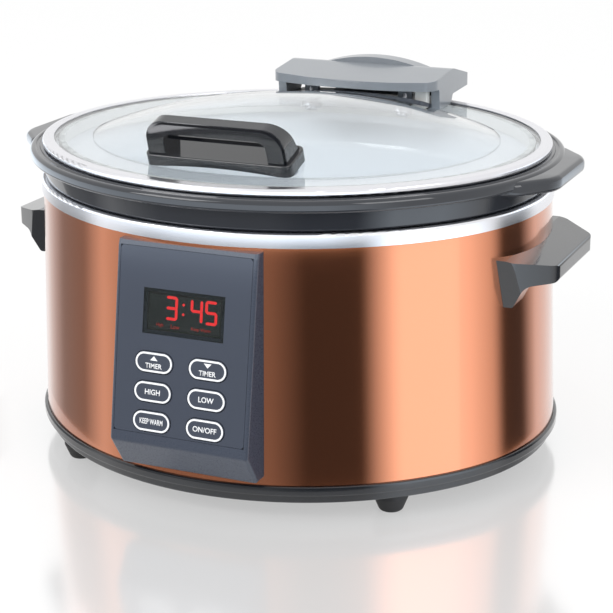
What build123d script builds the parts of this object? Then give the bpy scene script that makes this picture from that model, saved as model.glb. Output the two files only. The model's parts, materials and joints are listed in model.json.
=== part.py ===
from build123d import *
from math import asin, atan2, cos, degrees, hypot, radians, sin, sqrt
import os

os.makedirs("parts", exist_ok=True)

# Oval slow cooker with a hinged glass lid, in millimetres.
# +X runs along the front, the control panel faces -Y, the hinge stands on +Y, and +Z is up.
# It is drawn with the middle of its body over the origin. The exported pieces are moved along Y,
# so that the origin is on the table under the middle of the whole footprint.

# ---------------------------------------------------------------- driving sizes
# Plan of the body: an oval of four arcs, measured outside the steel wrap at its foot.
half_length = 160.0
half_depth = 144.0
end_draw = 1.0            # how far the end arcs tighten, for each mm of length beyond depth

# Stack of heights
foot_height = 11.0
tray_step = 5.2
tray_height = 10.6
wall_height = 134.4       # of the wrap that shows between the tray and the band
band_height = 8.0
crock_collar = 12.3       # from the crock's shoulder to the underside of its rim
crock_rim = 6.5
lid_rim_height = 4.4
dome_rise = 20.5

# Gaps and small roundings used all over
hair = 0.1                # between pieces of one body that only lie beside each other
seat_gap = 0.2            # between bodies that rest on each other
soft = 2.0                # ordinary rounding of a moulded corner
crisp = 1.0               # rounding of a thin edge

# Base tray, its vents and its screw posts
tray_proud = 2.0
tray_inset = 1.0
tray_floor = 2.5
tray_wall = 2.4
tray_groove = 2.2         # depth of the groove that the wrap stands in
tray_tongue = 3.0         # height of the wall inside the wrap over the tray's top
groove_gap = 0.15
post_x = 62.0
post_y = 48.0
post_radius = 6.0
vent_length = 44.0
vent_width = 3.2
vent_pitch = 9.0

# Rubber feet
foot_radius = 10.0
foot_tip = 6.5
foot_flare = 2.5          # height of the foot's straight top
foot_plug = 4.0           # radius of the plug that is pressed through the tray
foot_barb = 5.2
foot_point = 3.0
foot_plug_height = 2.6
foot_angle = 50.0         # from the X axis, seen from the centre of the side arc
foot_margin = 0.8

# Steel wrap, band and well
sheet = 0.8
wrap_lean = 4.6           # how much narrower the wrap is at the band
wrap_tuck = 5.5           # how far the wrap runs up inside the band
band_proud = 0.8
band_gap = 0.05
band_land = 10.8          # width of the band's flat top
well_gap = 1.6            # between the crock and the well, all round
well_lift = 17.0          # from the tray's underside to the well's
well_flange_gap = 2.4     # between the well's flange and the wrap
heater_bottom = 44.0      # over the tray's underside
heater_width = 40.0
heater_thick = 2.5
heater_gap = 0.15
terminal_gap = 22.0
thermostat_radius = 14.0
thermostat_disc = 2.0
thermostat_can = 6.0

# Power board in the base: places are measured from the board's middle
power_length = 64.0
power_width = 44.0
power_stand = 3.0
power_from_front = 62.0
relay = (20.0, 16.0, 7.0)
relay_place = (-16.0, 6.0)
supply = (18.0, 14.0, 6.0)
supply_place = (14.0, 8.0)
capacitor_radius = 4.0
capacitor_place = (8.0, -12.0)
board_thick = 1.6
board_post = 2.5
board_margin = 4.0

# Crock
crock_wall = 7.0
crock_floor = 8.0
crock_inset = 17.5        # of the lower body at the shoulder
crock_taper = 4.0
crock_corner = 24.0
crock_waist = 9.0         # height of the curve inside the shoulder
collar_inset = 6.5
collar_flare = 1.7
neck_draw = 0.8           # how much narrower the mouth is at the foot of the collar
rim_proud = 2.0
rim_groove = 0.9
rim_groove_outer = -1.4
rim_groove_inner = -4.2
bottom_gap = 2.0          # between the crock and the floor of the well
footring_width = 26.0
footring_depth = 1.2
lug_proud = 12.0          # beyond half_length
lug_root_half = 52.0
lug_tip_half = 28.0
lug_thick = 8.4
lug_round = 3.2
lug_drop = 1.2            # of its top under the rim's
scoop_radius = 14.0
scoop_depth = 2.0

# Lid
glass = 3.2
lid_inset = 5.5
lid_rim_width = 7.0
lid_sheet = 0.6
dome_inset = 36.0
gasket_inset = 15.5
gasket_width = 3.5
gasket_depth = 7.8

# Lid handle, in the plane that touches the dome under it
grip_in = 51.6            # of its middle from half_depth
grip_half = 44.5
grip_depth = 24.0
grip_round = 5.0
grip_plate = 3.4
grip_lip = 1.2
grip_lip_width = 2.0
grip_height = 25.0
grip_bar = 7.0
grip_bar_depth = 9.5
grip_leg = 11.0
grip_inset = 1.8          # of the bow from the plate's ends and front
grip_lean = 1.0
grip_corner = 12.0
grip_hollow = 6.0
grip_step = 1.3
grip_screw_x = 37.0
grip_sink = 5.0           # how far the plate runs down before the dome trims it

# Lid hinge. Lengths that end in _in are measured inwards from half_depth.
pin_radius = 3.0
pin_fit = 0.06
pin_half = 35.5
pin_chamfer = 0.5
horn = 8.0                # radius of the tower's two cradles round the pin
barrel = 6.0
axis_height = 7.0         # of the pin over the crock's rim
rim_clear = 1.5           # between the crock's rim and the tower
bracket_gap = 0.9         # from the bracket's ends to the cap's cheeks
bracket_front_in = 52.0
bracket_back_in = 13.0
bracket_corner = 6.0
bracket_skin = 3.0
bracket_screw_x = 32.0
bracket_screw_in = 46.0
arm_half = 26.0
arm_front_in = 32.0
arm_step_in = 8.0
arm_thick = 6.4
arm_clear = 0.6           # over the lid's rim
hinge_side_gap = 0.6
cap_half = 56.0
cap_front_in = 60.0
cap_crest_in = 21.0
cap_front_height = 17.4   # over the top of the lid's rim
cap_crest_height = 21.8
cap_rear_height = 13.0
cap_lip = 5.0
cap_lip_proud = 4.0
cap_bow = 4.0             # how far the front edge bows past cap_front
cap_rear_lip = 6.8
cap_skin = 3.0
cap_cheek = 5.5
cap_corner = 9.0
cap_crown = 20.0
cap_post = 5.0
cheek_front_in = 45.0
cheek_trim = 0.6
ridge_half = 41.7
ridge_height = 25.4       # over the top of the lid's rim
ridge_rise = 8.0
ridge_depth = 11.0
ridge_back = 6.0
pad_edge = 0.6            # from the bracket's end
pad_in = 46.5
pad_width = 8.8
pad_depth = 5.0

# Hinge tower
tower_half = 36.0
tower_depth = 24.0
tower_skin = 3.0
tower_lift = 0.4          # over the tray
tower_head = 8.2          # over the hinge's axis
tower_knee = 30.0
tower_knee_round = 20.0
tower_root_in = 30.0
tower_shelf = 2.0         # under the cradles
tower_screw_x = 24.0
tower_screw_margin = 22.0
stop_wall = 4.0

# Side handles
wing_proud = 15.0         # beyond half_length
wing_tip_half = 35.0
wing_root_half = 52.0
wing_foot_half = 47.0
wing_rise = 116.5         # of the root's top over the tray's top
wing_root_thick = 28.0
wing_tip_thick = 9.6
wing_drop = 4.5
wing_flange = 6.0
wing_corner = 10.0
wing_waist = 1.0
wing_shell = 4.0
wing_root_in = 40.0
wing_screw_y = 30.0
wing_screw_drop = 12.0

# Control panel
panel_half = 42.3
panel_skin = 2.4
panel_top_proud = 1.6
panel_foot_proud = 16.0
panel_chin_proud = 3.0
panel_crown_proud = 0.6
panel_top_gap = 2.0       # under the band
panel_chin_height = 18.5
panel_foot_gap = 4.0      # over the tray
panel_bevel = 2.5
panel_nose = 3.5
panel_root_in = 40.0
opening_margin = 7.0
fascia_half = 39.8
fascia_height = 103.0
fascia_thick = 1.2
fascia_gap = 0.2
window_width = 49.0
window_height = 25.0
window_drop = 34.6
window_ledge = 2.0
key_width = 24.0
key_height = 12.4
key_pitch_x = 32.8
key_pitch_y = 16.5
key_drop = 62.8           # of the first row under the top of the fascia
key_gap = 0.35
key_proud = 0.6
key_round = 0.5
key_flange = 1.3
key_flange_proud = 0.8
key_travel = 0.6
key_stem = 2.2
switch_size = 6.0
switch_height = 3.4
switch_gap = 0.15
board_half = 36.0
display_gap = 0.3

# Cord inlet
inlet_height = 26.0
inlet_bore = 3.6
inlet_flange = 7.5
inlet_flange_thick = 2.4
inlet_neck = 5.5
inlet_length = 6.0

# Screws and washers
screw_radius = 2.0
screw_head = 4.0
screw_head_height = 2.2
screw_head_round = 0.8
slot_width = 1.0
slot_depth = 0.8
sink_gap = 0.4            # round and under a sunk head
side_screw = 12.0
grip_screw = 14.0
cap_screw = 18.0
washer_radius = 6.5
washer_thick = 1.6
washer_sag = 0.1          # the glass is hollow under a flat washer

# ---------------------------------------------------------------- sizes that follow
# The arcs meet at one angle whatever the length and depth are, so the oval also holds as a circle.
slimness = half_length - half_depth
end_radius = half_depth - end_draw * slimness
end_x = half_length - end_radius
side_y = slimness * (end_draw + 0.5) / end_draw
side_radius = half_depth + side_y
turn = degrees(atan2(end_draw + 0.5, end_draw * (1 + end_draw)))
arcs = (  # centre x, centre y, radius, start angle, sweep
    (end_x, 0, end_radius, -turn, 2 * turn),
    (0, -side_y, side_radius, turn, 180 - 2 * turn),
    (-end_x, 0, end_radius, 180 - turn, 2 * turn),
    (0, side_y, side_radius, 180 + turn, 180 - 2 * turn),
)
core = -0.6 * end_radius  # offset inside which vessels are plain slabs
beyond = 4 * half_length  # longer than anything that it has to cut through

tray_z = foot_height
tray_top = tray_z + tray_height
band_z = tray_top + wall_height
band_top = band_z + band_height
shoulder_z = band_top + seat_gap
rim_z = shoulder_z + crock_collar
rim_top = rim_z + crock_rim
lid_z = rim_top + seat_gap
glass_z = lid_z + lid_sheet
flange_top = glass_z + glass
lid_top = lid_z + lid_rim_height
well_z = tray_z + well_lift
crock_z = well_z + sheet + bottom_gap
wing_top = tray_top + wing_rise
inlet_z = tray_top + inlet_height

rim_y = half_depth + rim_proud
axis_y = rim_y + rim_clear + horn
axis_z = rim_top + axis_height
tower_back = rim_y + rim_clear + tower_depth
grip_y = half_depth - grip_in
bracket_screw_y = half_depth - bracket_screw_in
cap_front = half_depth - cap_front_in
cap_crest = half_depth - cap_crest_in
bracket_half = cap_half - cap_cheek - bracket_gap
pad_x = bracket_half - pad_edge - pad_width / 2

dome_half = half_depth - dome_inset
dome_radius = (dome_half ** 2 + dome_rise ** 2) / (2 * dome_rise)
dome_long = half_length - dome_inset
dome_sweep = (dome_long ** 2 + dome_rise ** 2) / (2 * dome_rise)
dome_axis_z = flange_top + dome_rise - dome_radius
rim_inner = side_radius - lid_inset - lid_rim_width

up = (Align.CENTER, Align.CENTER, Align.MIN)
down = (Align.CENTER, Align.CENTER, Align.MAX)


def wall_offset(z):
    """Offset of the wrap's outside at a height."""
    return -wrap_lean * (z - tray_top) / wall_height


def crock_offset(z):
    """Offset of the crock's lower body at a height."""
    return -crock_inset - crock_taper * (shoulder_z - z) / (shoulder_z - crock_z)


def well_offset(z):
    return crock_offset(z) + well_gap


# ---------------------------------------------------------------- helpers
def oval(offset, z):
    """Flat oval whose edge lies this far outside the reference oval."""
    edges = [CenterArc((x, y, z), r + offset, start, sweep) for x, y, r, start, sweep in arcs]
    return make_face(edges)


def slab(offset, low, high):
    """Upright oval block."""
    return extrude(oval(offset, low), amount=high - low, dir=(0, 0, 1))


def outline(*corners):
    """Closed outline. Each corner is two coordinates, and a rounding where it has one."""
    points = [corner[:2] for corner in corners]
    radii = [corner[2] if len(corner) > 2 else 0 for corner in corners]
    return make_face(FilletPolyline(*points, radius=radii, close=True))


def ring(*corners):
    """Carry a section, drawn as offset and height, round the oval."""
    section = Plane.XZ * outline(*corners)
    body = Part()
    for x, y, radius, start, sweep in arcs:
        placed = Rot(0, 0, start) * Pos(radius, 0, 0) * section
        body += Pos(x, y, 0) * revolve(placed, Axis.Z, sweep)
    return body


def along_x(half, *corners):
    """Section drawn as y and height, carried to both sides of X = 0."""
    return extrude(Plane.YZ * outline(*corners), amount=half, both=True)


def along_y(half, *corners):
    """Section drawn as x and height, carried to both sides of Y = 0."""
    return extrude(Plane.XZ * outline(*corners), amount=half, both=True)


def along_z(low, high, *corners):
    """Plan outline between two heights."""
    return extrude(Pos(0, 0, low) * outline(*corners), amount=high - low, dir=(0, 0, 1))


def rounded_block(width, depth, radius, low, high):
    """Upright block with rounded corners."""
    return extrude(Pos(0, 0, low) * RectangleRounded(width, depth, radius), amount=high - low, dir=(0, 0, 1))


def stadium(width, height, low, high):
    """Block with round ends."""
    return extrude(Pos(0, 0, low) * SlotOverall(width, height), amount=high - low, dir=(0, 0, 1))


def rod(radius, length):
    """Cylinder along X."""
    return Rot(0, 90, 0) * Cylinder(radius, length)


def mirrored(body):
    """The same piece on the left side."""
    return mirror(body, about=Plane.YZ)


def body_block():
    """Filled form of the wrap, for pieces that seat on its outside."""
    block = ring((core, tray_z), (wall_offset(tray_z), tray_z), (wall_offset(band_z), band_z), (core, band_z))
    return block + slab(core, tray_z, band_z)


def dome_block(skin):
    """Everything under the dome's surface moved out by skin, above the glass flange's underside."""
    reach = 1.25 * dome_long
    sweep = dome_sweep + skin
    crest = dome_radius + skin
    edge = crest - sweep + sqrt(sweep ** 2 - reach ** 2)
    deep = 0.8 * dome_radius
    arc = ThreePointArc((-reach, edge), (0, crest), (reach, edge))
    floor = Polyline((reach, edge), (reach, deep), (-reach, deep), (-reach, edge))
    section = Plane.XY * make_face(Curve() + [arc, floor])
    strip = revolve(Rot(35, 0, 0) * section, Axis.X, 110)
    keep = Pos(0, 0, glass_z) * Box(beyond, beyond, dome_radius, align=up)
    return (Pos(0, 0, dome_axis_z) * strip) & keep


def bolt(length):
    """Pan-head screw with its head under the origin and its shank upwards."""
    head = Pos(0, 0, -screw_head_height) * Cylinder(screw_head, screw_head_height, align=up)
    head = fillet(head.edges().group_by(Axis.Z)[0], screw_head_round)
    slot = Box(1.3 * screw_head, slot_width, 2 * slot_depth)
    cross = Pos(0, 0, -screw_head_height) * (slot + Rot(0, 0, 90) * slot)
    return head + Cylinder(screw_radius, length, align=up) - cross


# ---------------------------------------------------------------- base
def foot_places():
    reach = side_radius - tray_inset - foot_radius - foot_margin
    x = reach * cos(radians(foot_angle))
    y = reach * sin(radians(foot_angle)) - side_y
    return ((x, -y), (-x, -y), (-x, y), (x, y))


def post_places():
    return ((post_x, -post_y), (-post_x, -post_y), (-post_x, post_y), (post_x, post_y))


def base_tray():
    step_z = tray_z + tray_step
    floor_z = tray_z + tray_floor
    groove_z = tray_top - tray_groove
    tongue_z = tray_top + tray_tongue
    inner = -sheet - groove_gap
    body = ring(
        (core, tray_z),
        (-tray_inset, tray_z, crisp),
        (-tray_inset, step_z, 0.6 * crisp),
        (tray_proud, step_z, crisp),
        (tray_proud, tray_top, 1.4 * crisp),
        (groove_gap, tray_top),
        (groove_gap, groove_z),
        (inner, groove_z),
        (inner, tongue_z, 0.6 * crisp),
        (inner - tray_wall, tongue_z, 0.6 * crisp),
        (inner - tray_wall, floor_z, soft),
        (core, floor_z),
    )
    body += slab(core, tray_z, floor_z)
    for x, y in post_places():
        body += Pos(x, y, tray_z) * Cylinder(post_radius, well_lift, align=up)
        body -= Pos(x, y, tray_z) * Cylinder(screw_radius, 3 * well_lift)
        body -= Pos(x, y, tray_z) * Cylinder(screw_head + sink_gap, 2 * (screw_head_height + 2 * sink_gap))
    for x, y in foot_places():
        body -= Pos(x, y, tray_z) * Cylinder(foot_plug, 4 * tray_floor)
    for row in range(-3, 4):
        body -= Pos(0, row * vent_pitch, 0) * stadium(vent_length, vent_width, tray_z - 1, floor_z + 1)
    return body


def foot(x, y):
    top = foot_height + tray_floor
    section = outline(
        (0, 0),
        (foot_tip, 0, 1.3 * soft),
        (foot_radius, foot_height - foot_flare, crisp),
        (foot_radius, foot_height),
        (foot_plug, foot_height),
        (foot_plug, top),
        (foot_barb, top + 2 * seat_gap),
        (foot_point, top + foot_plug_height),
        (0, top + foot_plug_height),
    )
    return Pos(x, y, 0) * revolve(Plane.XZ * section, Axis.Z, 360)


# ---------------------------------------------------------------- housing
def panel_opening():
    low = tray_top + panel_foot_gap + panel_chin_height + board_margin
    high = band_z - opening_margin
    block = Box(2 * board_half + panel_skin, half_depth, high - low)
    return Pos(0, -half_depth, (low + high) / 2) * block


wing_screw_z = wing_top - wing_screw_drop


def wing_screw_holes(radius):
    holes = Part()
    for y in (-wing_screw_y, wing_screw_y):
        holes += Pos(half_length, y, wing_screw_z) * rod(radius, 2 * side_screw)
    return holes


def tower_screw_places():
    heights = (tray_top + tower_screw_margin, band_z - tower_screw_margin)
    return [(x, z) for x in (-tower_screw_x, tower_screw_x) for z in heights]


def tower_screw_holes(radius):
    holes = Part()
    for x, z in tower_screw_places():
        holes += Pos(x, half_depth, z) * Rot(90, 0, 0) * Cylinder(radius, 2 * side_screw)
    return holes


def outer_housing():
    low = tray_top - tray_groove + hair
    high = band_z + wrap_tuck
    body = ring(
        (wall_offset(low), low),
        (wall_offset(high), high),
        (wall_offset(high) - sheet, high),
        (wall_offset(low) - sheet, low),
    )
    holes = wing_screw_holes(screw_radius + hair)
    return body - panel_opening() - holes - mirrored(holes) - tower_screw_holes(screw_radius + hair)


def top_rim_band():
    outer = wall_offset(band_z) + band_proud
    inner = wall_offset(band_z) + band_gap
    edge = outer - band_land
    return ring(
        (outer, band_z),
        (outer, band_top, 2 * band_proud),
        (edge, band_top),
        (edge, band_top - sheet),
        (inner, band_top - sheet, band_proud),
        (inner, band_z),
    )


def heating_well():
    inside = well_z + sheet
    top = band_top - sheet
    flange = wall_offset(band_z) - well_flange_gap
    corner = crock_corner + well_gap
    body = ring(
        (core, well_z),
        (well_offset(well_z) + sheet, well_z, corner + sheet),
        (well_offset(top) + sheet, top - sheet),
        (flange, top - sheet),
        (flange, top),
        (well_offset(top), top),
        (well_offset(well_z), inside, corner),
        (core, inside),
    )
    body += slab(core, well_z, inside)
    for x, y in post_places():
        body -= Pos(x, y, well_z) * Cylinder(screw_radius, 4 * sheet)
    return body


def heater_band():
    low = tray_z + heater_bottom
    high = low + heater_width
    foot_edge = well_offset(low) + sheet + heater_gap
    top_edge = well_offset(high) + sheet + heater_gap
    body = ring(
        (foot_edge, low),
        (foot_edge + heater_thick, low),
        (top_edge + heater_thick, high),
        (top_edge, high),
    )
    return body - Pos(0, half_depth, low) * Box(terminal_gap, half_depth, 4 * heater_width)


def thermostat():
    disc = Cylinder(thermostat_radius, thermostat_disc, align=down)
    can = Pos(0, 0, -thermostat_disc) * Cylinder(0.65 * thermostat_radius, thermostat_can, align=down)
    return Pos(0, 0, well_z) * (disc + can)


def power_board():
    board = Pos(0, 0, power_stand) * Box(power_length, power_width, board_thick, align=up)
    for x in (-power_length / 2 + board_margin, power_length / 2 - board_margin):
        for y in (-power_width / 2 + board_margin, power_width / 2 - board_margin):
            board += Pos(x, y, 0) * Cylinder(board_post, power_stand, align=up)
    top = power_stand + board_thick
    board += Pos(*relay_place, top) * Box(*relay, align=up)
    board += Pos(*supply_place, top) * Box(*supply, align=up)
    board += Pos(*capacitor_place, top) * Cylinder(capacitor_radius, relay[2], align=up)
    return Pos(0, power_from_front - half_depth, tray_z + tray_floor) * board


# ---------------------------------------------------------------- side handles
def side_handle():
    low = wing_top - wing_root_thick
    root = half_length - wing_root_in
    reach = half_length + wing_proud
    shoulder = half_length - wing_flange
    tip_z = wing_top - wing_drop
    plan = along_z(
        low - 1, wing_top + 1,
        (root, -wing_root_half),
        (shoulder, -wing_root_half, wing_flange),
        (reach, -wing_tip_half, wing_corner),
        (reach, wing_tip_half, wing_corner),
        (shoulder, wing_root_half, wing_flange),
        (root, wing_root_half),
    )
    side = along_y(
        2 * wing_root_half,
        (root, low),
        (half_length - wing_root_thick / 4, low, soft),
        (half_length, tip_z - wing_tip_thick - wing_waist, 0.6 * wing_corner),
        (reach, tip_z - wing_tip_thick, soft),
        (reach, tip_z, soft),
        (half_length - wing_corner, wing_top),
        (root, wing_top),
    )
    flank = extrude(
        Plane.YZ * outline(
            (-wing_foot_half, low), (wing_foot_half, low),
            (wing_root_half, wing_top), (-wing_root_half, wing_top),
        ),
        amount=beyond,
    )
    body = plan & side & flank
    hollow = wing_root_thick - wing_drop - wing_shell
    width = 2 * (wing_proud - wing_shell)
    body -= Pos(half_length, 0, 0) * rounded_block(
        width, 2 * (wing_tip_half - wing_shell), 0.45 * width, low - 1, low + hollow
    )
    return body - body_block() - wing_screw_holes(screw_radius)


def wing_screw(y):
    slope = end_radius + wall_offset(wing_screw_z) - sheet
    x = end_x + sqrt(slope ** 2 - (abs(y) + screw_head) ** 2)
    return Pos(x, y, wing_screw_z) * Rot(0, 90, 0) * bolt(side_screw)


# ---------------------------------------------------------------- control panel
def wall_y(z, x=0.0):
    """Front of the wrap at a height and a distance from the middle."""
    return side_y - sqrt((side_radius + wall_offset(z)) ** 2 - x ** 2)


face_top_z = band_z - panel_top_gap - panel_bevel
face_foot_z = tray_top + panel_foot_gap + panel_chin_height
face_top_y = wall_y(face_top_z) - panel_top_proud
face_foot_y = wall_y(face_foot_z) - panel_foot_proud
face_length = hypot(face_top_y - face_foot_y, face_top_z - face_foot_z)
face_up = ((face_top_y - face_foot_y) / face_length, (face_top_z - face_foot_z) / face_length)
face = Plane(origin=(0, face_top_y, face_top_z), x_dir=(1, 0, 0), z_dir=(0, -face_up[1], face_up[0]))
key_bottom = fascia_thick + panel_skin
flange_top_depth = key_bottom + hair
flange_depth = flange_top_depth + key_flange
stem_end = flange_depth + key_travel + key_flange
board_top = stem_end + key_travel + switch_gap + switch_height


def key_places():
    for row, names in enumerate((("timer_up", "timer_down"), ("high", "low"), ("keep_warm", "on_off"))):
        for side, name in zip((-1, 1), names):
            yield name, side * key_pitch_x / 2, -key_drop - row * key_pitch_y


def panel_wedge(skin, nose, chin, brow):
    """Side outline of the control housing, moved in by skin and carried across."""
    back = panel_root_in - half_depth
    low = tray_top + panel_foot_gap + skin
    high = band_z - panel_top_gap - skin
    deep = skin + fascia_thick if skin else 0.0
    return along_x(
        panel_half - skin,
        (back, low),
        (wall_y(low) - panel_chin_proud + skin, low, chin),
        (face_foot_y + deep, face_foot_z + skin / 2, nose),
        (face_top_y + deep, face_top_z - skin / 2, brow),
        (wall_y(high) - panel_crown_proud + skin, high),
        (back, high),
    )


def panel_bezel():
    body = panel_wedge(0.0, panel_nose, soft, crisp)
    sides = body.edges().filter_by(lambda e: abs(abs(e.center().X) - panel_half) < hair)
    sides = sides.filter_by(lambda e: face_foot_z + panel_nose < e.center().Z < face_top_z)
    body = fillet(sides.filter_by(lambda e: e.center().Y < wall_y(face_top_z)), soft)
    body -= panel_wedge(panel_skin, crisp, 0, 0)
    body -= body_block()
    width = 2 * (fascia_half + fascia_gap)
    recess = Box(width, fascia_height + 2 * fascia_gap, 2 * panel_skin, align=up)
    body -= face * (Pos(0, -fascia_height / 2, -fascia_thick) * recess)
    opening = Box(window_width - 2 * window_ledge, window_height - 2 * window_ledge, 4 * key_bottom)
    body -= face * (Pos(0, -window_drop, 0) * opening)
    for _, x, y in key_places():
        body -= face * (Pos(x, y, 0) * stadium(key_width, key_height, -2 * key_bottom, crisp))
    return body


def panel_fascia():
    plate = Pos(0, -fascia_height / 2, 0) * rounded_block(
        2 * fascia_half, fascia_height, soft, -fascia_thick, 0
    )
    opening = Box(window_width + fascia_gap, window_height + fascia_gap, 4 * fascia_thick)
    plate -= Pos(0, -window_drop, 0) * opening
    for _, x, y in key_places():
        plate -= Pos(x, y, 0) * stadium(key_width, key_height, -key_bottom, key_bottom)
    return face * plate


def display_window():
    pane = Pos(0, -window_drop, 0) * Box(window_width, window_height, fascia_thick, align=down)
    return face * pane


def led_display():
    width = window_width - 3 * window_ledge
    height = window_height - 3 * window_ledge
    block = Box(width, height, board_top - fascia_thick - display_gap, align=up)
    return face * (Pos(0, -window_drop, -board_top) * block)


def control_board():
    high = window_drop - window_height / 2 - window_ledge
    low = key_drop + 2 * key_pitch_y + key_height / 2
    board = Pos(0, -(high + low) / 2, 0) * Box(2 * board_half, low - high, board_thick, align=down)
    for _, x, y in key_places():
        board += Pos(x, y, 0) * Box(switch_size, switch_size, switch_height, align=up)
    height = board_top - key_bottom - hair
    for x in (board_margin - board_half, board_half - board_margin):
        for y in (-high - board_margin, board_margin - low):
            board += Pos(x, y, 0) * Cylinder(board_post, height, align=up)
    return face * (Pos(0, 0, -board_top) * board)


def key(x, y):
    cap = stadium(key_width - 2 * key_gap, key_height - 2 * key_gap, -flange_top_depth, key_proud)
    cap = fillet(cap.edges().group_by(Axis.Z)[-1], key_round)
    wide = 2 * key_flange_proud
    flange = stadium(key_width + wide, key_height + wide, -flange_depth, -flange_top_depth)
    stem = Pos(0, 0, -stem_end) * Cylinder(key_stem, stem_end, align=up)
    return face * (Pos(x, y, 0) * (cap + flange + stem))


# ---------------------------------------------------------------- hinge tower
def hinge_tower():
    low = tray_top + tower_lift
    front = rim_y + rim_clear
    top = axis_z + tower_head
    shelf = axis_z - horn - tower_shelf
    root = half_depth - tower_root_in
    collar = band_z - tower_lift
    body = along_x(
        tower_half,
        (root, low),
        (tower_back - tower_skin, low, tower_skin),
        (tower_back, low + tower_knee, tower_knee_round),
        (tower_back, top, 1.5 * crisp),
        (tower_back - stop_wall, top, 0.8 * crisp),
        (tower_back - stop_wall, shelf, soft),
        (front, shelf),
        (front, collar, soft),
        (root, collar),
    )
    sides = body.edges().filter_by(lambda e: abs(abs(e.center().X) - tower_half) < hair)
    body = fillet(sides.filter_by(lambda e: e.center().Y > tower_back - stop_wall), 1.5 * crisp)
    width = tower_half - arm_half - hinge_side_gap
    cradle = Box(width, 2 * horn, 1.5 * horn, align=down) + rod(horn, width)
    for side in (-1, 1):
        body += Pos(side * (tower_half - width / 2), axis_y, axis_z) * cradle
    slot = pin_radius + pin_fit
    throat = rod(slot, 3 * tower_half) + Box(3 * tower_half, 2 * slot, 4 * horn, align=up)
    body -= Pos(0, axis_y, axis_z) * throat
    ceiling = band_z - 2 * tower_skin
    hollow = along_x(
        tower_half - tower_skin,
        (root - soft, low + tower_skin),
        (tower_back - 2 * tower_skin, low + tower_skin, soft),
        (tower_back - tower_skin, low + tower_knee, tower_knee_round - tower_skin),
        (tower_back - tower_skin, ceiling, tower_skin),
        (root - soft, ceiling),
    )
    for x, z in tower_screw_places():
        rib = Cylinder(screw_radius + tower_skin, tower_depth + tower_root_in, align=up)
        hollow -= Pos(x, tower_back - 1, z) * Rot(90, 0, 0) * rib
    body = body - hollow - body_block() - tower_screw_holes(screw_radius)
    return body - Pos(0, tower_back, inlet_z) * Rot(90, 0, 0) * Cylinder(inlet_neck, 2 * tower_root_in)


def tower_screw(x, z):
    y = -wall_y(z, abs(x) + screw_head) - sheet - hair
    return Pos(x, y, z) * Rot(-90, 0, 0) * bolt(side_screw)


def cord_inlet():
    flange = Cylinder(inlet_flange, inlet_flange_thick, align=up)
    flange = fillet(flange.edges().group_by(Axis.Z)[-1], crisp)
    bush = flange + Cylinder(inlet_neck, inlet_length, align=down) - Cylinder(inlet_bore, 4 * inlet_length)
    return Pos(0, tower_back, inlet_z) * Rot(-90, 0, 0) * bush


# ---------------------------------------------------------------- crock
def lug():
    top = rim_top - lug_drop
    low = top - lug_thick
    middle = -collar_inset - crock_wall / 2
    root = half_length - 3 * crock_wall
    shoulder = half_length - lug_proud / 2
    reach = half_length + lug_proud
    body = along_z(
        low, top,
        (root, -lug_root_half),
        (shoulder, -lug_root_half + lug_round, lug_proud),
        (reach, -lug_tip_half, 1.6 * lug_proud),
        (reach, lug_tip_half, 1.6 * lug_proud),
        (shoulder, lug_root_half - lug_round, lug_proud),
        (root, lug_root_half),
    )
    flat = body.edges().filter_by(lambda e: e.bounding_box().size.Z < 1)
    body = fillet(flat.filter_by(lambda e: e.center().X > root + 1), lug_round)
    scoop = Rot(90, 0, 0) * Cylinder(scoop_radius, 1.5 * lug_tip_half)
    body -= Pos(reach - lug_thick, 0, low - scoop_radius + scoop_depth) * scoop
    return body - slab(middle, low - 1, top + 1)


def crock():
    floor_z = crock_z + crock_floor
    neck = -collar_inset - crock_wall
    groove_z = rim_top - rim_groove
    body = ring(
        (core, crock_z),
        (crock_offset(crock_z), crock_z, crock_corner),
        (-crock_inset, shoulder_z),
        (-collar_inset, shoulder_z, soft),
        (collar_flare - collar_inset, rim_z - crisp, crisp),
        (rim_proud, rim_z, 1.1 * soft),
        (rim_proud, rim_top, 1.3 * soft),
        (rim_groove_outer, rim_top, 0.5 * rim_groove),
        (rim_groove_outer - rim_groove / 2, groove_z, 0.5 * rim_groove),
        (rim_groove_inner + rim_groove / 2, groove_z, 0.5 * rim_groove),
        (rim_groove_inner, rim_top, 0.5 * rim_groove),
        (neck, rim_top, soft),
        (neck - neck_draw, rim_z - crock_rim, crock_waist),
        (-crock_inset - crock_wall, shoulder_z - crock_waist, crock_waist),
        (crock_offset(crock_z) - crock_wall, floor_z, crock_corner - crock_wall),
        (core, floor_z),
    )
    body += slab(core, crock_z, floor_z)
    handle = lug()
    body = body + handle + mirrored(handle)
    return body - slab(core + footring_width, crock_z - 1, crock_z + footring_depth)


# ---------------------------------------------------------------- lid
def lid_rim():
    outer = -lid_inset
    inner = outer - lid_rim_width
    return ring(
        (inner, lid_z, hair),
        (outer, lid_z, 0.7 * soft),
        (outer, lid_top, 0.9 * soft),
        (inner, lid_top, hair),
        (inner, lid_top - lid_sheet),
        (outer - lid_sheet, lid_top - lid_sheet, 0.6 * soft),
        (outer - lid_sheet, lid_z + lid_sheet, 0.4 * soft),
        (inner, lid_z + lid_sheet),
    )


def dome_frame(x, y):
    """Plane that touches the outside of the dome over a point of the plan."""
    lean = asin(x / dome_sweep)
    radius = dome_radius - dome_sweep * (1 - cos(lean))
    rise = sqrt(radius ** 2 - y ** 2)
    normal = (sin(lean), cos(lean) * y / radius, cos(lean) * rise / radius)
    return Plane(origin=(x, y, dome_axis_z + rise), x_dir=(cos(lean), 0, -sin(lean)), z_dir=normal)


def grip_screw_frames():
    return [dome_frame(x, -grip_y) for x in (-grip_screw_x, grip_screw_x)]


def bracket_screw_frames():
    return [dome_frame(x, bracket_screw_y) for x in (-bracket_screw_x, bracket_screw_x)]


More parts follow.
